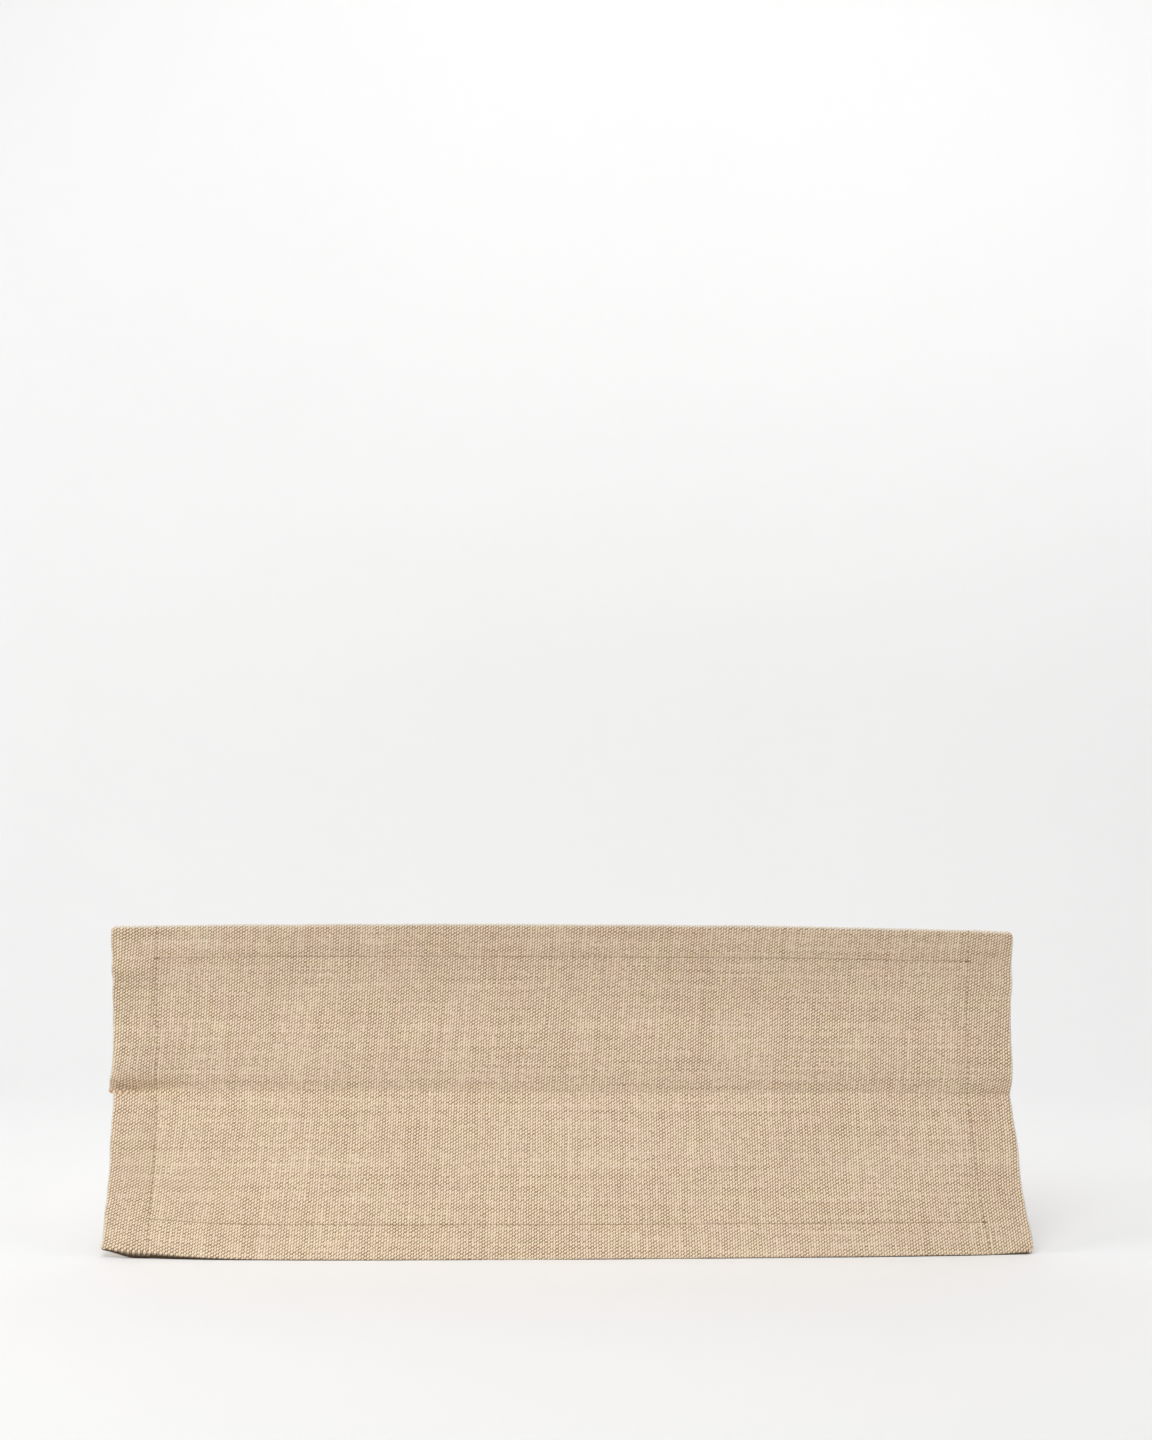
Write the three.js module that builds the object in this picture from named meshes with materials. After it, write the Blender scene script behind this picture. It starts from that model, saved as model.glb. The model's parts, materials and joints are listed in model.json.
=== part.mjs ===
// A table runner: one length of heavy canvas, hemmed on all four sides and creased along its middle.
// It stands on its lower long edge, with the lower half slanting back and the upper half near upright.
// The cloth halves turn about the crease. The hems are turned twice to the back and sewn through,
// with a needle thread on the face and a bobbin thread on the back of every seam.
//
// Millimetres. +X runs along the runner, +Y to its back and +Z up. The origin is on the table,
// under the middle of the runner's box. Left and right are as seen from the face.

import * as THREE from 'three';

// The cloth, flat
const LENGTH = 900;
const LOWER_WIDTH = 164;
const UPPER_WIDTH = 169;
const CANVAS = 1.1;

// The hems: a double turn on the back, pressed flat
const END_HEM = 44;
const LONG_HEM = 34;
const HEM_LAYERS = 2;
const STITCH_INSET = 2;

// The sewing thread
const THREAD_WIDTH = 0.8;
const THREAD_THICK = 0.35;

// How the cloth stands, in degrees up from the table, and the length of cloth that the bend takes
const FOOT_SLANT = 59.5;
const SLANT_UNDER_CREASE = 69.5;
const SLANT_OVER_CREASE = 82;
const TOP_EDGE_SLANT = 101;
const BEND_START = 70;
const BEND_END = 150;
const RIGHT_FOOT_SWEEP = 20;

// Room between pieces
const GAP = 0.3;
const CREASE_GAP = 1.6;
const THREAD_STOP = 5;
const THREAD_END = 1.2;

// Mesh steps
const LONG_STEP = 45;
const CROSS_STEP = 14;
const WALK_STEP = 2;

const HEM = HEM_LAYERS * CANVAS;
const HEM_BACK = CANVAS + GAP + HEM;
const ALONG = new THREE.Vector3(1, 0, 0);

const CANVAS_TAN = new THREE.MeshStandardMaterial({ color: 0xcfb79a, roughness: 0.92, metalness: 0 });
const HEM_TAN = new THREE.MeshStandardMaterial({ color: 0xc6ad8f, roughness: 0.92, metalness: 0 });
const THREAD_TAN = new THREE.MeshStandardMaterial({ color: 0xb59a7a, roughness: 0.6, metalness: 0 });

// The cloth's slant at s mm from the crease: s is negative in the lower half, positive in the upper.
function slant(s) {
  const lower = THREE.MathUtils.mapLinear(s, -LOWER_WIDTH, 0, FOOT_SLANT, SLANT_UNDER_CREASE);
  const bend = THREE.MathUtils.smoothstep(s, BEND_START, BEND_END);
  const upper = THREE.MathUtils.lerp(SLANT_OVER_CREASE, TOP_EDGE_SLANT, bend);
  return THREE.MathUtils.degToRad(s < 0 ? lower : upper);
}

// The face s mm from the crease, with the crease at y = 0, z = 0: a walk along the cloth.
function section(s) {
  const steps = Math.max(1, Math.ceil(Math.abs(s) / WALK_STEP));
  const step = s / steps;
  const at = new THREE.Vector3();
  for (let i = 0; i < steps; i += 1) {
    const angle = slant((i + 0.5) * step);
    at.y += step * Math.cos(angle);
    at.z += step * Math.sin(angle);
  }
  return at;
}

const CREASE_HEIGHT = -section(-LOWER_WIDTH).z;

// A point at x, s mm from the crease and depth mm behind the face. The foot is trimmed to the table.
function place(x, s, depth) {
  const point = section(s);
  const angle = slant(s);
  const up = new THREE.Vector3(0, Math.cos(angle), Math.sin(angle));
  const back = new THREE.Vector3().crossVectors(up, ALONG);
  point.z += CREASE_HEIGHT;
  point.addScaledVector(back, depth);
  if (point.z < 0) point.addScaledVector(up, -point.z / up.z);
  const towardsRight = Math.max(0, x / (LENGTH / 2));
  const towardsFoot = Math.max(0, -s / LOWER_WIDTH);
  point.y += RIGHT_FOOT_SWEEP * towardsRight ** 2 * towardsFoot ** 2;
  point.x = x;
  return point;
}

function stations(from, to, step) {
  const count = Math.max(1, Math.ceil((to - from) / step));
  return Array.from({ length: count + 1 }, (_, i) => from + ((to - from) * i) / count);
}

// A closed layer that follows the cloth, from x0 to x1 and s0 to s1, between two depths.
function layer(x0, x1, s0, s1, front, back) {
  const xs = stations(x0, x1, LONG_STEP);
  const ss = stations(s0, s1, CROSS_STEP);
  const positions = [];
  for (const depth of [front, back]) {
    for (const x of xs) {
      for (const s of ss) positions.push(...place(x, s, depth).toArray());
    }
  }
  const rows = ss.length;
  const half = xs.length * rows;
  const at = (i, j, side) => side * half + i * rows + j;
  const faces = [];
  const quad = (a, b, c, d) => faces.push(a, b, c, a, c, d);
  for (let i = 0; i + 1 < xs.length; i += 1) {
    for (let j = 0; j + 1 < rows; j += 1) {
      quad(at(i, j, 0), at(i + 1, j, 0), at(i + 1, j + 1, 0), at(i, j + 1, 0));
      quad(at(i, j, 1), at(i, j + 1, 1), at(i + 1, j + 1, 1), at(i + 1, j, 1));
    }
    quad(at(i, 0, 1), at(i + 1, 0, 1), at(i + 1, 0, 0), at(i, 0, 0));
    quad(at(i, rows - 1, 0), at(i + 1, rows - 1, 0), at(i + 1, rows - 1, 1), at(i, rows - 1, 1));
  }
  const last = xs.length - 1;
  for (let j = 0; j + 1 < rows; j += 1) {
    quad(at(0, j, 0), at(0, j + 1, 0), at(0, j + 1, 1), at(0, j, 1));
    quad(at(last, j, 1), at(last, j + 1, 1), at(last, j + 1, 0), at(last, j, 0));
  }
  const geometry = new THREE.BufferGeometry();
  geometry.setAttribute('position', new THREE.Float32BufferAttribute(positions, 3));
  geometry.setIndex(faces);
  return geometry;
}

const runner = new THREE.Group();

function add(name, geometry, material) {
  const mesh = new THREE.Mesh(geometry, material);
  mesh.name = name;
  runner.add(mesh);
}

// The two halves of the cloth: the bare canvas from edge to edge, up to each side of the crease.
const LEFT = -LENGTH / 2;
const RIGHT = LENGTH / 2;
const HALVES = [
  { name: 'lower', edge: -LOWER_WIDTH, crease: -CREASE_GAP / 2, inward: 1 },
  { name: 'upper', edge: UPPER_WIDTH, crease: CREASE_GAP / 2, inward: -1 },
];

function clothHalf({ name, edge, crease }) {
  const ends = [edge, crease].sort((a, b) => a - b);
  add(`${name}_panel`, layer(LEFT, RIGHT, ...ends, 0, CANVAS), CANVAS_TAN);
}

// The end hems run from the long edge to the crease, and the long hem lies between them.
const SIDES = [
  { name: 'left', edge: LEFT, inward: 1 },
  { name: 'right', edge: RIGHT, inward: -1 },
];
const END_TURN = END_HEM + STITCH_INSET;
const LONG_TURN = LONG_HEM + STITCH_INSET;

function endHem(side, half) {
  const across = [side.edge, side.edge + side.inward * END_TURN].sort((a, b) => a - b);
  const up = [half.edge, half.crease].sort((a, b) => a - b);
  const hem = layer(...across, ...up, CANVAS + GAP, HEM_BACK);
  add(`${side.name}_hem_${half.name}`, hem, HEM_TAN);
}

function longHem(half) {
  const name = half.name === 'lower' ? 'bottom_hem' : 'top_hem';
  const up = [half.edge, half.edge + half.inward * LONG_TURN].sort((a, b) => a - b);
  const reach = END_TURN + GAP;
  add(name, layer(LEFT + reach, RIGHT - reach, ...up, CANVAS + GAP, HEM_BACK), HEM_TAN);
}

// Each seam is a flat needle thread on the face and a bobbin thread on the back of the hem.
const THREADS = [
  { name: 'needle_thread', front: -GAP - THREAD_THICK, back: -GAP },
  { name: 'bobbin_thread', front: HEM_BACK + GAP, back: HEM_BACK + GAP + THREAD_THICK },
];

function endSeam(side, half, thread) {
  const middle = side.edge + side.inward * END_HEM;
  const stop = -half.inward * THREAD_STOP;
  const up = [half.edge + half.inward * THREAD_END, stop].sort((a, b) => a - b);
  const seam = layer(
    middle - THREAD_WIDTH / 2, middle + THREAD_WIDTH / 2, ...up, thread.front, thread.back,
  );
  add(`${thread.name}_${side.name}_${half.name}`, seam, THREAD_TAN);
}

function longSeam(half, thread) {
  const name = half.name === 'lower' ? 'bottom' : 'top';
  const middle = half.edge + half.inward * LONG_HEM;
  const reach = END_HEM + THREAD_WIDTH / 2 + GAP;
  const seam = layer(
    LEFT + reach, RIGHT - reach, middle - THREAD_WIDTH / 2, middle + THREAD_WIDTH / 2,
    thread.front, thread.back,
  );
  add(`${thread.name}_${name}`, seam, THREAD_TAN);
}

for (const half of HALVES) {
  clothHalf(half);
  longHem(half);
  for (const side of SIDES) endHem(side, half);
  for (const thread of THREADS) {
    longSeam(half, thread);
    for (const side of SIDES) endSeam(side, half, thread);
  }
}

// The origin goes under the middle of the runner's box, front to back.
const box = new THREE.Box3().setFromObject(runner);
runner.position.y = -box.getCenter(new THREE.Vector3()).y;

export default runner;
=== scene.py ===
import json
import math

import bpy
import numpy as np
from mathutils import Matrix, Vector


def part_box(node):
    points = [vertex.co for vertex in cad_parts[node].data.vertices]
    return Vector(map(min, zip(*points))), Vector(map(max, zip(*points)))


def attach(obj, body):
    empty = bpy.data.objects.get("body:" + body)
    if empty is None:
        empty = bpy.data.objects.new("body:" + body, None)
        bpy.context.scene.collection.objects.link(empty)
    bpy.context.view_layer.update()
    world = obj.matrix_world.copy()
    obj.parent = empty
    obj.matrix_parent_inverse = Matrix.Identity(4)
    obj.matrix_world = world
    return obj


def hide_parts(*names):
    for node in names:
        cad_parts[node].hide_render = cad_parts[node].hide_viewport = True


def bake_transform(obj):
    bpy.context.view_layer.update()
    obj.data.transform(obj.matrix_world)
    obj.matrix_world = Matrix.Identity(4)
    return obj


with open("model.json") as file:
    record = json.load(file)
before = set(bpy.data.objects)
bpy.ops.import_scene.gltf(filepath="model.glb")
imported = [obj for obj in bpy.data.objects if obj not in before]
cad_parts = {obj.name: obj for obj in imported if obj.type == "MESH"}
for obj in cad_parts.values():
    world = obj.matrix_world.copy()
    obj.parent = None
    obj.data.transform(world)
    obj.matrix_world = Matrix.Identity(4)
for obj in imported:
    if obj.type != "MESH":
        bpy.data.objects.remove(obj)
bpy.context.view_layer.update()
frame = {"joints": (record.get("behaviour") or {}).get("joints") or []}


# THE CAMERA
# A normal lens, held level two metres in front of the crease, close to the runner's middle and about
# half a metre over the table.
crease = Vector(frame["joints"][0]["pos_m"])
CAMERA_SIDE = 0.014
CAMERA_BACK = 2.0
CAMERA_HEIGHT = 0.52
LENS_MM = 50

camera = bpy.data.objects.new("camera", bpy.data.cameras.new("camera"))
camera.location = (CAMERA_SIDE, crease.y - CAMERA_BACK, CAMERA_HEIGHT)
camera.rotation_euler = (math.radians(90), 0, 0)
camera.data.lens = LENS_MM
bpy.context.scene.collection.objects.link(camera)
bpy.context.scene.camera = camera


# THE CLOTH
# One length of heavy tan canvas in a coarse plain weave, about 1.1 mm thick. All four edges are turned
# twice to the back and pressed flat, the two ends first and then the long sides over them, so that the
# corners are thickest. A pressed crease runs along the middle, and the cloth stands half open on it.
END_LEFT, END_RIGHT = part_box("lower_panel")[0].x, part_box("lower_panel")[1].x
HALF = (END_RIGHT - END_LEFT) / 2
LOWER, UPPER = 0.164, 0.169
CANVAS = 0.0011
HEM = 0.0034
CORNER = 0.0052
FOLD_ROUND = 0.0017
ROUND_TOP, ROUND_LEFT_FOOT, ROUND_RIGHT_FOOT = 0.0045, 0.0012, 0.0065
END_SEAM = 0.044
LONG_SEAM = 0.034
TURN_PAST_SEAM = 0.002
STITCH = 0.0054

# How it stands, in degrees up from the table, as in the CAD model.
FOOT_SLANT, SLANT_UNDER_CREASE = 59.5, 69.5
SLANT_OVER_CREASE, TOP_EDGE_SLANT = 82, 101
BEND_START, BEND_END = 0.070, 0.150
FOOT_SWEEP = 0.020


def smooth(t):
    t = np.clip(t, 0, 1)
    return t * t * (3 - 2 * t)


def ramp(x, start, end):
    """0 before start, 1 past end and smooth between; start may be the greater."""
    return smooth((x - start) / (end - start))


def bell(x, centre, width):
    """1 at the centre, falling off softly on both sides."""
    return np.exp(-(((x - centre) / width) ** 2))


def waves(t, shortest, longest, seed, count=7):
    """An uneven wave along t with these wavelengths, from about -1 to 1 and the same each time."""
    rng = np.random.default_rng(seed)
    total = 0
    for length in np.geomspace(shortest, longest, count):
        total = total + np.sin(2 * np.pi * (t / length + rng.random())) * rng.uniform(0.6, 1)
    return total / (0.55 * count)


def slant(s):
    lower = FOOT_SLANT + (SLANT_UNDER_CREASE - FOOT_SLANT) * (s + LOWER) / LOWER
    bend = ramp(s, BEND_START, BEND_END)
    upper = SLANT_OVER_CREASE + (TOP_EDGE_SLANT - SLANT_OVER_CREASE) * bend
    return np.radians(np.where(s < 0, lower, upper))


# The section through the middle of the runner, walked up and down from the crease.
WALK_PAST, WALK_PLACES = 0.01, 1372
walk = np.linspace(-LOWER - WALK_PAST, UPPER + WALK_PAST, WALK_PLACES)
middles = (walk[1:] + walk[:-1]) / 2
walk_y = np.concatenate([[0], np.cumsum(np.cos(slant(middles)) * np.diff(walk))])
walk_z = np.concatenate([[0], np.cumsum(np.sin(slant(middles)) * np.diff(walk))])
walk_y = walk_y - np.interp(0, walk, walk_y)
walk_z = walk_z - np.interp(0, walk, walk_z)
TOP_LEAN = np.interp(UPPER, walk, walk_y)

# The seams, as places along the runner (u) and across it from the crease (s).
SEAM_LEFT, SEAM_RIGHT = END_LEFT + END_SEAM, END_RIGHT - END_SEAM
SEAM_TOP, SEAM_BOTTOM = UPPER - LONG_SEAM, LONG_SEAM - LOWER


# How far the seams and hems stand out of the smooth face or sink into it, in metres.
SEAM_VALLEY, VALLEY_WIDTH = 0.0005, 0.0011
SEAM_GATHER, GATHER_WIDTH = 0.00035, 0.010
SEAM_FADE, HEM_FADE = 0.002, 0.004
HEM_PROUD = 0.0005
END_HEM_WAVE, LONG_HEM_WAVE = 0.0005, 0.0004
SWAY_ALONG, SWAY_ACROSS = 0.0007, 0.0005


def seam_dip(off, along, seed):
    """The sewn line lies in a shallow valley, and the cloth gathers a little on both sides of it."""
    valley = SEAM_VALLEY * bell(off, 0, VALLEY_WIDTH)
    gather = SEAM_GATHER * bell(off, 0, GATHER_WIDTH) * waves(along, 0.014, 0.06, seed)
    return gather - valley


def relief(u, s):
    """How far the face stands out of its smooth shape."""
    between = ramp(u, SEAM_LEFT, SEAM_LEFT + SEAM_FADE) * ramp(u, SEAM_RIGHT, SEAM_RIGHT - SEAM_FADE)
    out = between * seam_dip(s - SEAM_TOP, u, 11) + between * seam_dip(s - SEAM_BOTTOM, u, 12)
    out = out + seam_dip(u - SEAM_LEFT, s, 13) + seam_dip(u - SEAM_RIGHT, s, 14)
    top_band = ramp(s, SEAM_TOP, SEAM_TOP + HEM_FADE)
    foot_band = ramp(s, SEAM_BOTTOM, SEAM_BOTTOM - HEM_FADE)
    right_band = ramp(u, SEAM_RIGHT, SEAM_RIGHT + HEM_FADE)
    left_band = ramp(u, SEAM_LEFT, SEAM_LEFT - HEM_FADE)
    long_band, end_band = np.maximum(top_band, foot_band), np.maximum(right_band, left_band)
    out = out + HEM_PROUD * np.maximum(long_band, end_band)
    out = out + END_HEM_WAVE * end_band * waves(s, 0.030, 0.110, 15) * np.sign(u)
    out = out + LONG_HEM_WAVE * long_band * waves(u, 0.050, 0.200, 16)
    out = out + SWAY_ALONG * waves(u + 0.6 * s, 0.12, 0.50, 17)
    return out + SWAY_ACROSS * waves(s - 0.3 * u, 0.09, 0.30, 18)


PAST_EDGE = 1.05


def spans(u, s):
    """How far out a point is to the right, left, foot and top, from 0 in the middle to 1 at the edge."""
    right, left = np.clip(u / HALF, 0, PAST_EDGE), np.clip(-u / HALF, 0, PAST_EDGE)
    foot, top = np.clip(-s / LOWER, 0, PAST_EDGE), np.clip(s / UPPER, 0, PAST_EDGE)
    return right, left, foot, top


# How far the cloth stands in front of the plain section, in metres, and over what reach. The places in
# ramp and bell are metres along the cloth (u) and across it (s), or shares of the way out to an edge.
PULL_OVER, PULL_OVER_REACH = 0.0036, 0.011
PULL_UNDER, PULL_UNDER_REACH = 0.0016, 0.010
HOLLOW_LOST = 0.8
TOP_RIGHT_NOD = 0.011
SWEEP_EVEN, SWEEP_LATE = 0.7, 0.3
FOOT_FORWARD, FOOT_BELLY, LEFT_FOOT_TUCK = 0.0032, 0.0030, 0.006
LEFT_CURL, LEFT_BULGE, LEFT_RIPPLE = 0.0055, 0.0036, 0.0034
POCKET_DEPTH = 0.0078
RIGHT_DIMPLE, LEFT_DIMPLE = 0.0035, 0.0032
RIGHT_BULGE, RIGHT_BULGE_REACH = 0.0035, 0.008


def stands_forward(u, s):
    """How far the cloth stands in front of the plain section."""
    right, left, foot, top = spans(u, s)
    above, below = np.maximum(s, 0), np.maximum(-s, 0)
    # The pressed crease stays a valley: the cloth stands forward just above it and, less, just below.
    over = PULL_OVER * (1 - np.exp(-above / PULL_OVER_REACH)) * ramp(s, 0.085, 0.025)
    under = PULL_UNDER * (1 - np.exp(-below / PULL_UNDER_REACH)) * ramp(s, -0.090, -0.030)
    out = (over + under) * (0.85 + 0.2 * waves(u, 0.12, 0.50, 24))
    # The hollow of the upper half dies out towards the ends, and the top hem's right end nods forward.
    hollow = np.interp(s, walk, walk_y) - TOP_LEAN * top
    out = out + HOLLOW_LOST * np.where(s > 0, hollow, 0) * (u / HALF) ** 4
    out = out + TOP_RIGHT_NOD * right**2 * ramp(top, 0.72, 1.0)
    # The foot sweeps back to the right, bellies forward on the left and tucks in again at that end.
    out = out - (SWEEP_EVEN * right + SWEEP_LATE * right**6) * FOOT_SWEEP * foot**1.5
    out = out + (FOOT_FORWARD + FOOT_BELLY * bell(u, -0.20, 0.16)) * foot**1.5
    out = out - LEFT_FOOT_TUCK * ramp(-u, 0.33, 0.46) * foot**2
    # Below the crease the left hem curls to the front, and above it the end is pinched into a pocket.
    left_end = ramp(-u, 0.385, 0.430)
    pocket = ramp(-u, 0.355, 0.435) * bell(s, 0.0010, 0.0090)
    out = out + LEFT_CURL * ramp(-u, 0.395, 0.450) * ramp(-s, 0, 0.030) * ramp(s, -0.150, -0.020)
    out = out + LEFT_BULGE * left_end * ramp(s, 0, 0.018) * ramp(s, 0.085, 0.023)
    out = out - POCKET_DEPTH * pocket * ramp(s, -0.0070, 0.0020)
    out = out + LEFT_RIPPLE * left_end * ramp(s, 0.113, 0.122) * ramp(s, 0.145, 0.123)
    # Each upper corner has a dimple, and the right end bulges just over the crease.
    out = out - RIGHT_DIMPLE * bell(u, 0.430, 0.010) * bell(s, 0.138, 0.009)
    out = out - LEFT_DIMPLE * bell(u, -0.422, 0.008) * bell(s, 0.156, 0.008)
    rounded = 1 - np.exp(-above / RIGHT_BULGE_REACH)
    return out + RIGHT_BULGE * ramp(u, 0.40, 0.44) * rounded * ramp(s, 0.060, 0.015)


# How far the cloth stands above the plain section or below it, in metres.
LEFT_RISE, RIGHT_DROP = 0.0025, 0.002
TOP_LEFT_DROP, TOP_RIGHT_DROP = 0.0045, 0.0045
LEFT_LIFT, RIGHT_LIFT = 0.0085, 0.004
HEM_HANGS = 0.9
FACE_EDGE_UP, FACE_EDGE_WAVE, TOP_EDGE_WAVE = 0.0005, 0.0003, 0.0003


def stands_up(u, s, depth):
    """How far the cloth stands above the plain section."""
    right, left, foot, top = spans(u, s)
    up = (LEFT_RISE * left - RIGHT_DROP * right) * (1 - foot)
    up = up - TOP_RIGHT_DROP * right**2.6 * top**2 - TOP_LEFT_DROP * left**2 * top
    # Both foot corners lift, but the back layers of the hem still hang down to the table there.
    lift = LEFT_LIFT * ramp(-u, 0.28, 0.47) ** 1.3 + RIGHT_LIFT * ramp(u, 0.40, 0.46)
    behind = np.clip(depth / HEM * 2, 0, 1)
    hang = HEM_HANGS * ramp(foot, 0.93, 0.99) * behind * ramp(left, 1.0, 0.93)
    up = up + lift * ramp(foot, 0.35, 1.0) * (1 - hang)
    # The hem stands on the back of its fold, so the face edge is a little off the table.
    up = up + (FACE_EDGE_UP + FACE_EDGE_WAVE * waves(u, 0.06, 0.40, 25)) * ramp(foot, 0.85, 0.98)
    return up + TOP_EDGE_WAVE * waves(u, 0.06, 0.30, 22) * ramp(top, 0.8, 1.0)


# How far the cloth lies to the right of its flat place, in metres: each end's outline wanders a little.
FOOT_SHIFT, FOOT_SPREAD = 0.0095, 0.0025
UNDER_EAR, LEFT_FOOT_WANDER, LEFT_TOP_WANDER = 0.0024, 0.0014, 0.0012
RIGHT_WAIST, RIGHT_TOP_WANDER, RIGHT_FOOT_WANDER = 0.0019, 0.0014, 0.0038
LEFT_FOOT_CORNER, EAR, TOP_FLARE, END_EDGE_WAVE = 0.0022, 0.0048, 0.0028, 0.0005


def lies_right(u, s):
    """How far the cloth lies to the right of its flat place."""
    right, left, foot, top = spans(u, s)
    left_shift = UNDER_EAR * bell(foot, 0.16, 0.15) * ramp(-s, 0.0020, 0.0050)
    left_shift = left_shift + LEFT_FOOT_WANDER * (bell(foot, 0.46, 0.12) - bell(foot, 0.85, 0.15))
    left_shift = left_shift + LEFT_TOP_WANDER * (bell(s, 0.045, 0.022) - bell(s, 0.108, 0.030))
    right_shift = RIGHT_TOP_WANDER * bell(s, 0.118, 0.020) - RIGHT_WAIST * bell(s, -0.012, 0.025)
    right_shift = right_shift - RIGHT_FOOT_WANDER * bell(foot, 0.60, 0.30)
    over = foot * (FOOT_SHIFT + FOOT_SPREAD * u / HALF) + left**3 * left_shift + right**3 * right_shift
    over = over - LEFT_FOOT_CORNER * ramp(left, 0.93, 1.0) * ramp(foot, 0.93, 1.0)
    # The outer end of the crease sticks out like an ear, and the top corner flares.
    tip = ramp(-u, 0.425, 0.447)
    over = over - EAR * tip * ramp(s, 0.025, -0.002) * ramp(s, -0.0045, -0.0023)
    over = over - TOP_FLARE * tip * ramp(s, 0.128, 0.153)
    at_end = ramp(right, 0.9, 1.0) + ramp(left, 0.9, 1.0)
    return over + END_EDGE_WAVE * waves(s, 0.025, 0.12, 21) * at_end


def on_cloth(u, s, depth=0.0):
    """The place of a point of the cloth at u, s and depth behind the face. All may be arrays."""
    u, s, depth = np.broadcast_arrays(np.asarray(u, float), np.asarray(s, float), np.asarray(depth, float))
    angle = slant(s)
    out = relief(u, s) - depth
    x = u + lies_right(u, s)
    y = np.interp(s, walk, walk_y) - stands_forward(u, s) - out * np.sin(angle)
    z = np.interp(s, walk, walk_z) + stands_up(u, s, depth) + out * np.cos(angle)
    return np.stack([x, crease.y + y, np.maximum(crease.z + z, 0)], axis=-1)


HEM_STEP = 0.0006
HEM_SOFT = 0.06
SEAM_PRESS, PRESS_WIDTH = 0.0004, 0.0012


def thickness(u, s):
    """One layer of canvas in the middle, three in the hems and more where two hems cross."""
    end_turn, long_turn = END_SEAM + TURN_PAST_SEAM, LONG_SEAM + TURN_PAST_SEAM
    in_left = smooth((END_LEFT + end_turn - u) / HEM_STEP)
    in_right = smooth((u - END_RIGHT + end_turn) / HEM_STEP)
    in_foot = smooth((long_turn - LOWER - s) / HEM_STEP)
    in_top = smooth((s - UPPER + long_turn) / HEM_STEP)
    in_end, in_long = np.maximum(in_left, in_right), np.maximum(in_foot, in_top)
    hem = np.maximum(in_end, in_long)
    soft = 1 + HEM_SOFT * waves(u + s, 0.02, 0.09, 23)
    sewn = bell(u, SEAM_LEFT, PRESS_WIDTH) + bell(u, SEAM_RIGHT, PRESS_WIDTH)
    sewn = sewn + bell(s, SEAM_TOP, PRESS_WIDTH) + bell(s, SEAM_BOTTOM, PRESS_WIDTH)
    deep = CANVAS + (HEM - CANVAS) * hem * soft + (CORNER - HEM) * in_end * in_long
    return deep - SEAM_PRESS * sewn * hem


# The mesh's grid, in metres, with closer lines at the seams, the hems' inner turns and the crease.
GRID_U, GRID_S = 0.0040, 0.0035
CLOSE_STEPS = np.array([0, 0.0004, 0.0008, 0.0014, 0.0022])
CLOSE_CLEAR = 0.003
CREASE_LINES = [0.0, -0.004, 0.006, 0.012]
TINY = 1e-6


def stations(low, high, step, fine_places):
    """Places from low to high, about a step apart, with finer ones close to each fine place."""
    found = np.linspace(low, high, round((high - low) / step) + 1)
    close = [place + sign * CLOSE_STEPS for place in fine_places for sign in (-1, 1)]
    extra = np.concatenate(close)
    found = found[np.abs(found[:, None] - np.array(fine_places)).min(axis=1) > CLOSE_CLEAR]
    found = np.concatenate([found, extra, [low, high]])
    return np.unique(np.round(found[(found >= low) & (found <= high)], 6))


U_LOW, U_HIGH = END_LEFT + FOLD_ROUND, END_RIGHT - FOLD_ROUND
S_LOW, S_HIGH = FOLD_ROUND - LOWER, UPPER - FOLD_ROUND
ROUND_STEPS = np.array([0, 0.0012, 0.0024, 0.0036])
u_fine = [SEAM_LEFT, SEAM_RIGHT, SEAM_LEFT + TURN_PAST_SEAM, SEAM_RIGHT - TURN_PAST_SEAM]
s_fine = [SEAM_TOP, SEAM_BOTTOM, SEAM_TOP - TURN_PAST_SEAM, SEAM_BOTTOM + TURN_PAST_SEAM] + CREASE_LINES
us = stations(U_LOW, U_HIGH, GRID_U, u_fine)
ss = stations(S_LOW, S_HIGH, GRID_S, s_fine)
us = np.unique(np.concatenate([us, U_LOW + ROUND_STEPS, U_HIGH - ROUND_STEPS]))
ss = np.unique(np.concatenate([ss, S_LOW + ROUND_STEPS, S_HIGH - ROUND_STEPS]))
grid_u, grid_s = np.meshgrid(us, ss, indexing="ij")


def round_corners(u, s):
    """Draws the flat grid's square corners in to quarter circles; p and q say how far into one."""
    middle_s, reach_s = (S_LOW + S_HIGH) / 2, (S_HIGH - S_LOW) / 2
    foot_round = np.where(u < 0, ROUND_LEFT_FOOT, ROUND_RIGHT_FOOT)
    corner = np.where(s > 0, ROUND_TOP, foot_round)
    p = np.clip((np.abs(u) - (U_HIGH - corner)) / corner, 0, 1)
    q = np.clip((np.abs(s - middle_s) - (reach_s - corner)) / corner, 0, 1)
    new_u = u - np.sign(u) * corner * (p - p * np.sqrt(1 - q * q / 2))
    new_s = s - np.sign(s - middle_s) * corner * (q - q * np.sqrt(1 - p * p / 2))
    return new_u, new_s, p * np.sign(u), q * np.sign(s - middle_s)


grid_u, grid_s, lean_u, lean_s = round_corners(grid_u, grid_s)
count_u, count_s = grid_u.shape
front = on_cloth(grid_u, grid_s).reshape(-1, 3)
back = on_cloth(grid_u, grid_s, thickness(grid_u, grid_s)).reshape(-1, 3)
number = np.arange(count_u * count_s).reshape(count_u, count_s)
rim = np.concatenate([number[:, 0], number[-1, 1:], number[-2::-1, -1], number[0, -2:0:-1]])

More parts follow.
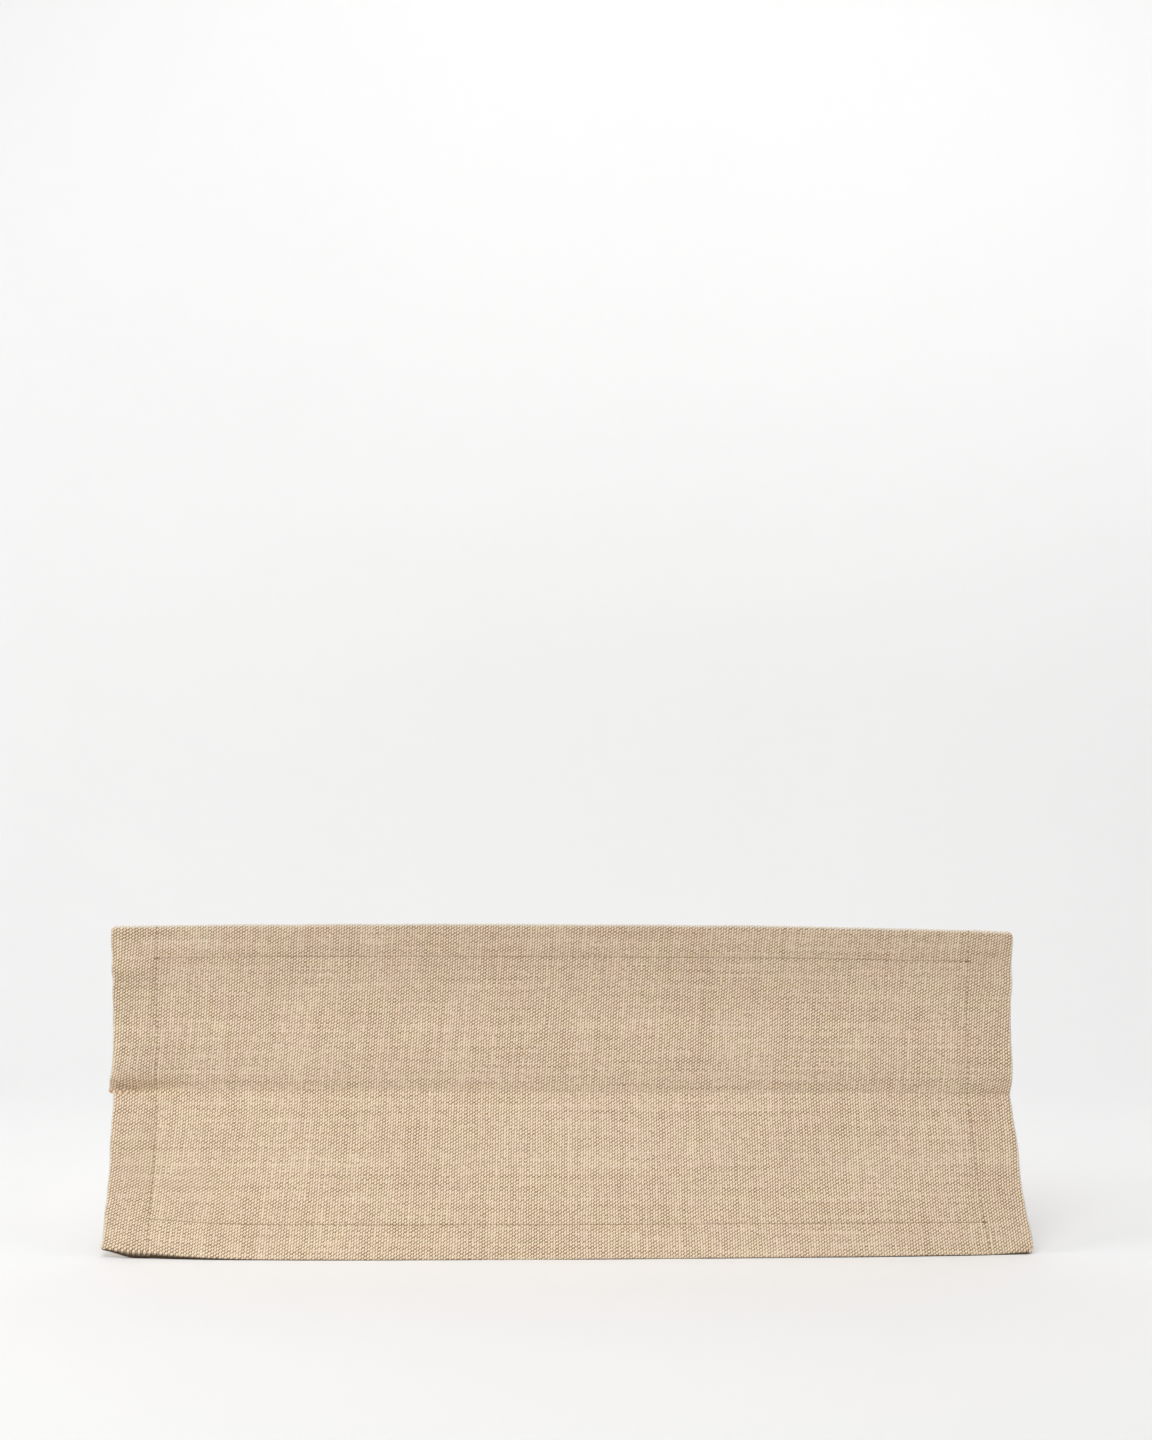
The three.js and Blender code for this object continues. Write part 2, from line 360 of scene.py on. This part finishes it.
# The folded edge is a half round from the face to the back of the hem, in five steps.
rim_u, rim_s = grid_u.ravel()[rim], grid_s.ravel()[rim]
on_end = (np.abs(rim_u) > U_HIGH - TINY) & (np.abs(lean_s.ravel()[rim]) < TINY)
on_side = np.abs(lean_u.ravel()[rim]) < TINY
out_u = np.where(on_end, np.sign(rim_u), np.where(on_side, 0, lean_u.ravel()[rim]))
out_s = np.where(on_side, np.sign(rim_s), np.where(on_end, 0, lean_s.ravel()[rim]))
out_length = np.hypot(out_u, out_s)
out_u, out_s = out_u / out_length, out_s / out_length
rim_thick = thickness(rim_u, rim_s)
places = [front, back]
flats = [np.stack([grid_u.ravel(), grid_s.ravel()], axis=1)] * 2
halves = ([flats[0]] * 2, [flats[0]] * 2)
FOLD_STEPS, FACE_SIDE_STEPS = 5, 3
for step in range(1, FOLD_STEPS):
    turn = math.pi * step / FOLD_STEPS
    reach = FOLD_ROUND * math.sin(turn)
    depth = rim_thick / 2 * (1 - math.cos(turn))
    places.append(on_cloth(rim_u + reach * out_u, rim_s + reach * out_s, depth))
    unrolled = FOLD_ROUND * min(turn, math.pi - turn)
    flats.append(np.stack([rim_u + unrolled * out_u, rim_s + unrolled * out_s], axis=1))
    for half, way_round in enumerate((turn, math.pi - turn)):
        spread = FOLD_ROUND * way_round
        halves[half].append(np.stack([rim_u + spread * out_u, rim_s + spread * out_s], axis=1))
verts = np.concatenate(places)
flat = np.concatenate(flats)

total = count_u * count_s
faces = []
a, b, c, d = (number[:-1, :-1], number[1:, :-1], number[1:, 1:], number[:-1, 1:])
faces.append(np.stack([a, b, c, d], axis=-1).reshape(-1, 4))
faces.append(np.stack([d, c, b, a], axis=-1).reshape(-1, 4) + total)
grid_faces = a.size
face_side_faces = 2 * grid_faces + FACE_SIDE_STEPS * len(rim)
between = [2 * total + k * len(rim) + np.arange(len(rim)) for k in range(FOLD_STEPS - 1)]
rings = [rim, *between, rim + total]
for inner, outer in zip(rings, rings[1:]):
    after_in, after_out = np.roll(inner, -1), np.roll(outer, -1)
    faces.append(np.stack([after_in, inner, outer, after_out], axis=-1))
faces = np.concatenate(faces)


def mesh_piece(name, verts, faces, flat, material):
    """A smooth mesh object; flat holds each vertex's place on the uncreased cloth, in metres."""
    mesh = bpy.data.meshes.new(name)
    mesh.from_pydata(verts.tolist(), [], faces.tolist())
    mesh.update()
    mesh.validate()
    corner = np.zeros(len(mesh.loops), np.int32)
    mesh.loops.foreach_get("vertex_index", corner)
    layer = mesh.uv_layers.new(name="cloth")
    layer.data.foreach_set("uv", flat[corner].astype(np.float32).ravel())
    mesh.shade_smooth()
    mesh.materials.append(material)
    piece = bpy.data.objects.new(name, mesh)
    bpy.context.scene.collection.objects.link(piece)
    return piece


class Wire:
    """A shader socket that adds its own Math node for each operator."""

    def __init__(self, finish, socket):
        self.finish, self.socket = finish, socket

    def math(self, operation, *others, clamp=False):
        settings = {"operation": operation, "use_clamp": clamp}
        return self.finish.node("ShaderNodeMath", settings, self, *others)

    def __add__(self, other):
        return self.math("ADD", other)

    def __radd__(self, other):
        return self.math("ADD", other)

    def __sub__(self, other):
        return self.math("SUBTRACT", other)

    def __rsub__(self, other):
        return (self * -1) + other

    def __mul__(self, other):
        return self.math("MULTIPLY", other)

    def __rmul__(self, other):
        return self.math("MULTIPLY", other)

    def __truediv__(self, other):
        return self.math("DIVIDE", other)

    def __neg__(self):
        return self * -1

    def ease(self, low, high):
        """0 below low, 1 above high and smooth between them; low may be the greater."""
        settings = {"interpolation_type": "SMOOTHSTEP"}
        if low < high:
            return self.finish.node("ShaderNodeMapRange", settings, self, low, high, 0.0, 1.0)
        return self.finish.node("ShaderNodeMapRange", settings, self, high, low, 1.0, 0.0)


class Finish:
    """A material and its one Principled shader."""

    def __init__(self, name, **constants):
        self.material = bpy.data.materials.new(name)
        self.material.use_nodes = True
        self.tree = self.material.node_tree
        self.shader = next(n for n in self.tree.nodes if n.type == "BSDF_PRINCIPLED")
        for socket, value in constants.items():
            self.shader.inputs[socket.replace("_", " ")].default_value = value

    def node(self, kind, settings, *values, out=0):
        """A new node with these settings, its inputs set or linked in order; None leaves one alone."""
        made = self.tree.nodes.new(kind)
        for key, value in settings.items():
            setattr(made, key, value)
        inputs = [socket for socket in made.inputs if socket.enabled]
        for socket, value in zip(inputs, values):
            self.feed(socket, value)
        return Wire(self, [socket for socket in made.outputs if socket.enabled][out])

    def feed(self, socket, value):
        if isinstance(value, Wire):
            self.tree.links.new(value.socket, socket)
        elif value is not None:
            socket.default_value = value

    def drive(self, socket, value):
        self.feed(self.shader.inputs[socket], value)

    def flat_place(self):
        """Where a point lies on the uncreased cloth: along it and across it, in metres."""
        place = self.node("ShaderNodeUVMap", {"uv_map": "cloth"})
        split = self.tree.nodes.new("ShaderNodeSeparateXYZ")
        self.tree.links.new(place.socket, split.inputs[0])
        return place, Wire(self, split.outputs[0]), Wire(self, split.outputs[1])

    def point(self, x, y, z=0.0):
        return self.node("ShaderNodeCombineXYZ", {}, x, y, z)

    def noise(self, place, scale, detail=2.0, roughness=0.5):
        """Soft noise about 0, from roughly -0.5 to 0.5."""
        made = self.node("ShaderNodeTexNoise", {"noise_dimensions": "3D"}, place, scale, detail, roughness)
        return made - 0.5

    def chance(self, place):
        """A number from 0 to 1 for each whole-number place."""
        return self.node("ShaderNodeTexWhiteNoise", {"noise_dimensions": "3D"}, place)

    def mix(self, factor, first, second, blend="MIX"):
        made = self.tree.nodes.new("ShaderNodeMix")
        made.data_type, made.blend_type = "RGBA", blend
        for socket, value in zip((made.inputs[0], made.inputs[6], made.inputs[7]), (factor, first, second)):
            self.feed(socket, (*value, 1) if isinstance(value, tuple) else value)
        return Wire(self, made.outputs[2])


# The weave: warp yarns stand across the runner and lean a few degrees, weft yarns lie along it. Each
# warp yarn shows as a slanted grain wherever it crosses over a weft.
WARP, WEFT = 0.00262, 0.001625
WARP_LEAN = 0.06
GRAIN_SLANT = 0.10
WARP_WANDER, WEFT_WANDER = 0.8, 1.2
UNEVEN = 0.25
WARP_BODY, WARP_RISE = 0.60, 0.42
WEFT_BODY, WEFT_RISE = 0.30, 0.25
OVER_SOFT = 0.08

# Each colour that a yarn goes through, from painted shade in the gaps between yarns to a painted
# highlight on the tops of them.
GAP_SHADE = (0.240, 0.118, 0.030)
YARN = (0.770, 0.562, 0.335)
CROWN_HIGHLIGHT = (0.968, 0.862, 0.735)
# Two slow tints over the cloth, the rubbed edges with a painted highlight, and the painted shade under
# the foot fold.
STRAW = (1.000, 0.985, 0.920)
ROSE = (1.000, 0.950, 0.925)
EDGE_WEAR_AND_HIGHLIGHT = (0.800, 0.770, 0.700)
PAINTED_FOOT_SHADE = (0.085, 0.055, 0.032)

canvas = Finish("canvas", Roughness=0.9, Specular_IOR_Level=0.1, Sheen_Weight=0.02, Sheen_Roughness=0.5)
place, u, s = canvas.flat_place()
across = (u - s * WARP_LEAN) / WARP + canvas.noise(canvas.point(u, s), 30.0, 2.0) * WARP_WANDER
across = across + canvas.noise(canvas.point(u / WARP * 0.6, s * 40), 1.0, 2.0) * UNEVEN
along = s / WEFT + canvas.noise(canvas.point(u, s, 7.0), 22.0, 2.0) * WEFT_WANDER
along = along + canvas.noise(canvas.point(u * 30, s / WEFT * 0.6, 5.0), 1.0, 2.0) * UNEVEN
warp_number, weft_number = across.math("FLOOR"), along.math("FLOOR")
turn = (along + warp_number) * math.pi
warp_off = (across - warp_number - 0.5 + turn.math("COSINE") * GRAIN_SLANT) * 2
weft_off = (along - weft_number - 0.5) * 2
warp_body = (1 - warp_off * warp_off).math("MAXIMUM", 0.0).math("SQRT")
weft_body = (1 - weft_off * weft_off).math("MAXIMUM", 0.0).math("SQRT")
warp_rise = turn.math("SINE")
weft_rise = ((across + weft_number) * math.pi).math("SINE") * -1
warp_height = warp_body * WARP_BODY + warp_rise * WARP_RISE
weft_height = weft_body * WEFT_BODY + weft_rise * WEFT_RISE
height = warp_height.math("MAXIMUM", weft_height)
is_warp = (warp_height - weft_height).ease(-OVER_SOFT, OVER_SOFT)

# What makes a yarn lighter or darker, and by how much: its height, which paints shade low down and a
# highlight high up, its kind, its own luck, thick and thin stretches along it, the lint on it, and slow
# changes over the cloth.
HEIGHT_SHADE_AND_HIGHLIGHT, WARP_LIGHT = 0.90, 0.15
LOW, HIGH = 0.28, 0.82
WARP_LUCK, WEFT_LUCK, GRAIN_LUCK = 0.05, 0.07, 0.20
THICK_WARP, THICK_WEFT, SLUB = 0.30, 0.34, 0.05
LINT = 0.22
SLOW_WIDE, SLOW_NEAR = 0.10, 0.06
YARN_APART = 7.3

warp_luck = canvas.chance(canvas.point(warp_number, 3.0)) - 0.5
weft_luck = canvas.chance(canvas.point(weft_number, 9.0)) - 0.5
grain_luck = canvas.chance(canvas.point(warp_number, weft_number, 5.0)) - 0.5
weft_slub = canvas.noise(canvas.point(u * 14, weft_number * 0.37), 1.0, 1.0)
thick_warp = canvas.noise(canvas.point(warp_number * YARN_APART, s * 10, 4.0), 1.0, 1.0)
thick_weft = canvas.noise(canvas.point(u * 9, weft_number * YARN_APART, 6.0), 1.0, 1.0)
lint = canvas.noise(canvas.point(u, s, 3.0), 2600.0, 3.0, 0.7)
# Painted shade and highlight: the lower a spot of yarn lies, the darker its colour.
shade = height.ease(LOW, HIGH) * HEIGHT_SHADE_AND_HIGHLIGHT + is_warp * WARP_LIGHT
shade = shade + warp_luck * WARP_LUCK + weft_luck * WEFT_LUCK + grain_luck * GRAIN_LUCK
shade = shade + weft_slub * SLUB + lint * LINT + thick_warp * THICK_WARP + thick_weft * THICK_WEFT
shade = shade + canvas.noise(place, 9.0, 2.0) * SLOW_WIDE + canvas.noise(place, 60.0, 2.0) * SLOW_NEAR

# Needle holes along each seam, a little darker than the cloth.
HOLE_EDGE, HOLE_MIDDLE = 0.34, 0.5
HOLE_DARK = 0.9
long_line = (s - SEAM_TOP).math("ABSOLUTE").math("MINIMUM", (s - SEAM_BOTTOM).math("ABSOLUTE"))
end_line = (u - SEAM_LEFT).math("ABSOLUTE").math("MINIMUM", (u - SEAM_RIGHT).math("ABSOLUTE"))
inside = (u - SEAM_LEFT).ease(-0.001, 0.0) * (u - SEAM_RIGHT).ease(0.001, 0.0)
hole_u = ((u / STITCH).math("FRACT") - 0.5).math("ABSOLUTE").ease(HOLE_EDGE, HOLE_MIDDLE)
hole_s = ((s / STITCH).math("FRACT") - 0.5).math("ABSOLUTE").ease(HOLE_EDGE, HOLE_MIDDLE)
long_holes = long_line.ease(0.0009, 0.0002) * inside * hole_u
end_holes = end_line.ease(0.0012, 0.0004) * hole_s
holes = long_holes.math("MAXIMUM", end_holes)

# The long seams are back-tacked where they meet the side seams, which pulls the holes open.
TACK_LONG = 0.45
TACK_DARK = 0.7
to_end_seam = (u.math("ABSOLUTE") - SEAM_RIGHT).math("ABSOLUTE") * TACK_LONG
to_right_seam = (u - SEAM_RIGHT).math("ABSOLUTE") * TACK_LONG
tack_top = (s - SEAM_TOP).math("ABSOLUTE") + to_end_seam
tack_foot = (s - SEAM_BOTTOM).math("ABSOLUTE") + to_right_seam
tacks = tack_top.math("MINIMUM", tack_foot).ease(0.0024, 0.0008)

# The hems at the two ends let no light through from behind, so painted shade makes their colour deeper.
END_HEM_PAINTED_SHADE = 0.08
end_hem_shade = (u.math("ABSOLUTE") - SEAM_RIGHT).ease(-0.003, 0.006)

# The folded edges are rubbed pale and grey, with a painted highlight where the fold catches the light, and
# shade is painted under the fold that stands on the table, most of all towards the ends.
WEAR_AND_HIGHLIGHT_SHARE = 0.60
FOOT_SHADE_MIDDLE = 0.35
edge_u = (u.math("ABSOLUTE") - HALF).math("ABSOLUTE")
edge_s = (s - (UPPER - LOWER) / 2).math("ABSOLUTE") * -1 + (UPPER + LOWER) / 2
edge_wear_and_highlight = (edge_u.math("MINIMUM", edge_s.math("ABSOLUTE")) + lint * 0.001).ease(0.0026, 0.0008)
edge_wear_and_highlight = edge_wear_and_highlight * (s + LOWER).ease(0.0010, 0.0050)
foot_shade_to_ends = u.math("ABSOLUTE").ease(0.20, 0.34) * (1 - FOOT_SHADE_MIDDLE) + FOOT_SHADE_MIDDLE
foot_shade_mask = (s + LOWER).ease(0.0010, -0.0003) * foot_shade_to_ends

CONTRAST, MIDDLE_TONE = 1.75, 0.820
# The end hems' painted shade darkens the tone here.
tone = (shade - 0.5) * CONTRAST + MIDDLE_TONE - end_hem_shade * END_HEM_PAINTED_SHADE
tone = tone.math("MAXIMUM", 0.0).math("MINIMUM", 1.0)
low_half = canvas.mix((tone * 2).math("MINIMUM", 1.0), GAP_SHADE, YARN)
colour = canvas.mix((tone * 2 - 1).math("MAXIMUM", 0.0), low_half, CROWN_HIGHLIGHT)
drift = (canvas.noise(place, 26.0, 2.0) * 3 + 0.5).math("MAXIMUM", 0.0, clamp=True)
colour = canvas.mix(1.0, colour, canvas.mix(drift, STRAW, ROSE), "MULTIPLY")
# Pale grey rim on the folded edges: partly rubbed wear, partly a painted highlight.
colour = canvas.mix(edge_wear_and_highlight * WEAR_AND_HIGHLIGHT_SHARE, colour, EDGE_WEAR_AND_HIGHLIGHT)
# Painted shade: the underside of the foot fold is darkened in colour.
colour = canvas.mix(foot_shade_mask, colour, PAINTED_FOOT_SHADE)
colour = canvas.mix((tacks * TACK_DARK + holes * HOLE_DARK).math("MINIMUM", 1.0), colour, GAP_SHADE)
canvas.drive("Base Color", colour)
ROUGH_GAP, ROUGH_LESS = 0.95, 0.10
canvas.drive("Roughness", ROUGH_GAP - tone * ROUGH_LESS)
BUMP_STRENGTH, BUMP_DEPTH = 0.9, 0.0006
BUMP_YARN, BUMP_LINT, BUMP_HOLE = 0.8, 0.15, 1.2
bumps = height * BUMP_YARN + lint * BUMP_LINT - holes * BUMP_HOLE
canvas.drive("Normal", canvas.node("ShaderNodeBump", {}, BUMP_STRENGTH, BUMP_DEPTH, None, bumps))

cloth = mesh_piece("runner_cloth", verts, faces, flat, canvas.material)

# A second map without overlaps, for baked maps: the face above, the back below.
MAP_EDGE = 0.008
FACE_SHARE = 0.60
corner = np.zeros(len(cloth.data.loops), np.int32)
cloth.data.loops.foreach_get("vertex_index", corner)
face_number = np.repeat(np.arange(len(faces)), 4)
on_face_side = (face_number >= 2 * grid_faces) & (face_number < face_side_faces)
is_face = (face_number < grid_faces) | on_face_side
spread = np.where(is_face[:, None], np.concatenate(halves[0])[corner], np.concatenate(halves[1])[corner])
map_x = (spread[:, 0] + HALF + MAP_EDGE) / (2 * (HALF + MAP_EDGE))
map_y = (spread[:, 1] + LOWER + MAP_EDGE) / (LOWER + UPPER + 2 * MAP_EDGE)
map_y = np.where(is_face, 1 - FACE_SHARE + map_y * FACE_SHARE, map_y * (1 - FACE_SHARE))
bake_map = cloth.data.uv_layers.new(name="OFBake")
bake_map.data.foreach_set("uv", np.stack([map_x, map_y], axis=1).astype(np.float32).ravel())
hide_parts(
    "lower_panel", "upper_panel", "bottom_hem", "top_hem",
    "left_hem_lower", "left_hem_upper", "right_hem_lower", "right_hem_upper",
)
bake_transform(cloth)


# THE SEAM THREADS
# Lockstitch in a three-ply tan thread, a little under five stitches to the inch. The needle thread
# shows on the face and the bobbin thread on the back of the hem, and both dip into every needle hole.
THREAD = 0.0006
DIP = 0.0009
PROUD = 0.0001
SIDES, RINGS = 8, 9
STITCH_GAP = 0.06
STITCH_LEAN = 0.0003
UNEVEN_ALONG, UNEVEN_ASIDE = 0.0001, 0.00008
DIP_STEEP = 0.6
THIN_ENDS, FULL_SOON, END_SHARE = 0.35, 2.2, 0.04
TWISTS = 900
THREAD_DARK, THREAD_PALE = (0.36, 0.255, 0.15), (0.66, 0.51, 0.35)

thread = Finish("thread", Roughness=0.65, Specular_IOR_Level=0.3, Sheen_Weight=0.1)
place, t_along, t_round = thread.flat_place()
ply = ((t_along * TWISTS + t_round * 3) * 2 * math.pi).math("SINE")
fuzz = thread.noise(place, 900.0, 2.0)
thread_shade = (ply * 0.3 + fuzz * 0.8 + 0.5).ease(0.0, 1.0)
thread.drive("Base Color", thread.mix(thread_shade, THREAD_DARK, THREAD_PALE))
thread.drive("Normal", thread.node("ShaderNodeBump", {}, 0.5, 0.0002, None, ply + fuzz))


def stitch_row(name, start, end, on_back, seed):
    """A row of separate stitches between two places on the flat cloth."""
    start, end = np.array(start), np.array(end)
    long = np.linalg.norm(end - start)
    count = int(long / STITCH)
    rng = np.random.default_rng(seed)
    t = np.linspace(0, 1, RINGS)
    first = np.arange(count)[:, None] * STITCH + (long - count * STITCH) / 2
    reach = STITCH_GAP + (1 - 2 * STITCH_GAP) * t
    travel = first + STITCH * reach[None, :] + rng.normal(0, UNEVEN_ALONG, (count, 1))
    sideways = (t - 0.5)[None, :] * STITCH_LEAN + rng.normal(0, UNEVEN_ASIDE, (count, 1))
    way = (end - start) / long
    aside = np.array([-way[1], way[0]])
    spot_u = start[0] + way[0] * travel + aside[0] * sideways
    spot_s = start[1] + way[1] * travel + aside[1] * sideways
    rise = (PROUD + DIP) * np.sin(np.pi * t) ** DIP_STEEP - DIP
    level = -rise[None, :] + np.zeros_like(spot_u)
    if on_back:
        level = thickness(spot_u, spot_s) + rise[None, :]
    tiny = 1e-4
    middle = on_cloth(spot_u, spot_s, level)
    forward = on_cloth(spot_u + way[0] * tiny, spot_s + way[1] * tiny, level) - middle
    outward = middle - on_cloth(spot_u, spot_s, level + tiny)
    forward /= np.linalg.norm(forward, axis=-1, keepdims=True)
    outward /= np.linalg.norm(outward, axis=-1, keepdims=True)
    side = np.cross(forward, outward)
    fullness = np.sin(np.pi * np.clip(t, END_SHARE, 1 - END_SHARE)) * FULL_SOON
    girth = THREAD / 2 * np.clip(fullness, THIN_ENDS, 1)
    verts, flat = [], []
    for k in range(SIDES):
        turn = 2 * math.pi * k / SIDES
        away = math.cos(turn) * side + math.sin(turn) * outward
        verts.append(middle + away * girth[None, :, None])
        flat.append(np.stack([travel, np.full_like(travel, k / SIDES)], axis=-1))
    verts = np.stack(verts, axis=2).reshape(-1, 3)
    flat = np.stack(flat, axis=2).reshape(-1, 2)
    at = np.arange(count * RINGS * SIDES).reshape(count, RINGS, SIDES)
    near, far = at[:, :-1], at[:, 1:]
    tube = np.stack([near, far, np.roll(far, -1, axis=2), np.roll(near, -1, axis=2)], axis=-1)
    faces = [tube.reshape(-1, 4)]
    for cap in (at[:, 0, ::-1], at[:, -1, :]):
        for k in range(1, SIDES - 1, 2):
            last = min(k + 2, SIDES - 1)
            faces.append(np.stack([cap[:, 0], cap[:, k], cap[:, k + 1], cap[:, last]], axis=-1))
    return mesh_piece(name, verts, np.concatenate(faces), flat, thread.material)


SEAM_END = 0.0025
RUN_OVER = 0.005
FIRST_SEED = 31
rows = {
    "top": ((SEAM_LEFT, SEAM_TOP), (SEAM_RIGHT, SEAM_TOP)),
    "bottom": ((SEAM_LEFT, SEAM_BOTTOM), (SEAM_RIGHT + RUN_OVER, SEAM_BOTTOM)),
    "left": ((SEAM_LEFT, SEAM_END - LOWER), (SEAM_LEFT, UPPER - SEAM_END)),
    "right": ((SEAM_RIGHT, SEAM_END - LOWER), (SEAM_RIGHT, UPPER - SEAM_END)),
}
for seed, (seam, (start, end)) in enumerate(rows.items()):
    for kind in ("needle", "bobbin"):
        row = stitch_row(f"{seam}_{kind}_stitches", start, end, kind == "bobbin", FIRST_SEED + seed)
        node = f"{kind}_thread_{seam}"
        if seam == "top":
            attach(row, "upper_half")
            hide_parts(node)
        elif seam == "bottom":
            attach(row, "lower_half")
            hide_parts(node)
        else:
            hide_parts(f"{node}_lower", f"{node}_upper")
            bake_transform(row)


# THE TABLE AND THE WALL BEHIND IT
# A seamless white sweep: a level table top that curves up into a wall 1.4 metres behind the runner.
# The wall is clear from its back, so that the runner can be looked at from there as well.
SWEEP_FRONT, SWEEP_BACK, SWEEP_ROUND = -3.5, 1.4, 0.6
SWEEP_SIDE, SWEEP_TOP = 4.0, 3.5
SWEEP_STEPS = 16
PAPER_DULL, PAPER_WHITE = (0.86, 0.86, 0.86), (0.88, 0.88, 0.88)
GLOW, GLOW_START, GLOW_FULL = 0.55, 1.7, 3.3

sweep = [(SWEEP_FRONT, 0.0), (SWEEP_BACK - SWEEP_ROUND, 0.0)]
for step in range(1, SWEEP_STEPS + 1):
    turn = math.pi / 2 * step / SWEEP_STEPS
    sweep.append((SWEEP_BACK - SWEEP_ROUND * (1 - math.sin(turn)), SWEEP_ROUND * (1 - math.cos(turn))))
sweep.append((SWEEP_BACK, SWEEP_TOP))
sweep_verts = [(x, y, z) for x in (-SWEEP_SIDE, SWEEP_SIDE) for y, z in sweep]
sweep_faces = [(k, k + len(sweep), k + len(sweep) + 1, k + 1) for k in range(len(sweep) - 1)]
backdrop_mesh = bpy.data.meshes.new("backdrop")
backdrop_mesh.from_pydata(sweep_verts, [], sweep_faces)
backdrop_mesh.shade_smooth()
paper = Finish("white_paper", Roughness=0.85, Specular_IOR_Level=0.2)
paper_place = paper.node("ShaderNodeTexCoord", {}, out=3)
paper_tone = (paper.noise(paper_place, 1.5, 2.0) + 0.5).ease(0.0, 1.0)
paper.drive("Base Color", paper.mix(paper_tone, PAPER_DULL, PAPER_WHITE))
# Far out in front and to the sides, past the reach of the lamps, the paper is bright by itself.
spot = paper.tree.nodes.new("ShaderNodeSeparateXYZ")
paper.tree.links.new(paper_place.socket, spot.inputs[0])
out_side, out_front = Wire(paper, spot.outputs[0]).math("ABSOLUTE"), -Wire(paper, spot.outputs[1])
glow = out_side.math("MAXIMUM", out_front).ease(GLOW_START, GLOW_FULL) * GLOW
paper.drive("Emission Color", paper.node("ShaderNodeCombineColor", {}, glow, glow, glow))
paper.shader.inputs["Emission Strength"].default_value = 1.0
clear = paper.node("ShaderNodeBsdfTransparent", {})
from_behind = paper.node("ShaderNodeNewGeometry", {}, out=6)
one_sided = paper.node("ShaderNodeMixShader", {}, from_behind, Wire(paper, paper.shader.outputs[0]), clear)
paper_end = next(n for n in paper.tree.nodes if n.type == "OUTPUT_MATERIAL")
paper.feed(paper_end.inputs["Surface"], one_sided)
backdrop_mesh.materials.append(paper.material)
backdrop = bpy.data.objects.new("backdrop", backdrop_mesh)
bpy.context.scene.collection.objects.link(backdrop)


# THE LIGHT
# Soft boxes high in front, straight above and at each side, and a small one on the wall. The room gives
# a little light from all sides, and where the paper ends it is seen as a pale grey.
ROOM_LIGHT, ROOM_SEEN = 0.10, 0.72


def soft_box(name, place, aim, size, power):
    lamp = bpy.data.lights.new(name, "AREA")
    lamp.shape, lamp.size, lamp.energy = "SQUARE", size, power
    holder = bpy.data.objects.new(name, lamp)
    holder.location = place
    holder.rotation_euler = (Vector(aim) - Vector(place)).to_track_quat("-Z", "Y").to_euler()
    bpy.context.scene.collection.objects.link(holder)


soft_box("high front", (-0.5, -1.6, 2.6), (0, 0, 0.1), 1.6, 31)
soft_box("overhead", (0.0, 0.0, 2.6), (0, 0, 0), 1.6, 20)
soft_box("left side", (-2.6, -0.7, 1.2), (0, 0, 0.15), 1.6, 34)
soft_box("right side", (2.6, -0.8, 1.2), (0, 0, 0.15), 1.6, 19.5)
soft_box("wall", (1.2, 0.35, 1.6), (1.0, 1.4, 1.0), 1.0, 3)
room = bpy.data.worlds.new("room")
room.use_nodes = True
dim = room.node_tree.nodes["Background"]
dim.inputs["Color"].default_value = (1, 1, 1, 1)
dim.inputs["Strength"].default_value = ROOM_LIGHT
seen = room.node_tree.nodes.new("ShaderNodeBackground")
seen.inputs["Color"].default_value = (1, 1, 1, 1)
seen.inputs["Strength"].default_value = ROOM_SEEN
ray = room.node_tree.nodes.new("ShaderNodeLightPath")
either = room.node_tree.nodes.new("ShaderNodeMixShader")
room.node_tree.links.new(ray.outputs["Is Camera Ray"], either.inputs[0])
room.node_tree.links.new(dim.outputs[0], either.inputs[1])
room.node_tree.links.new(seen.outputs[0], either.inputs[2])
room_end = next(n for n in room.node_tree.nodes if n.type == "OUTPUT_WORLD")
room.node_tree.links.new(either.outputs[0], room_end.inputs["Surface"])
bpy.context.scene.world = room
bpy.context.scene.view_settings.view_transform = "Standard"
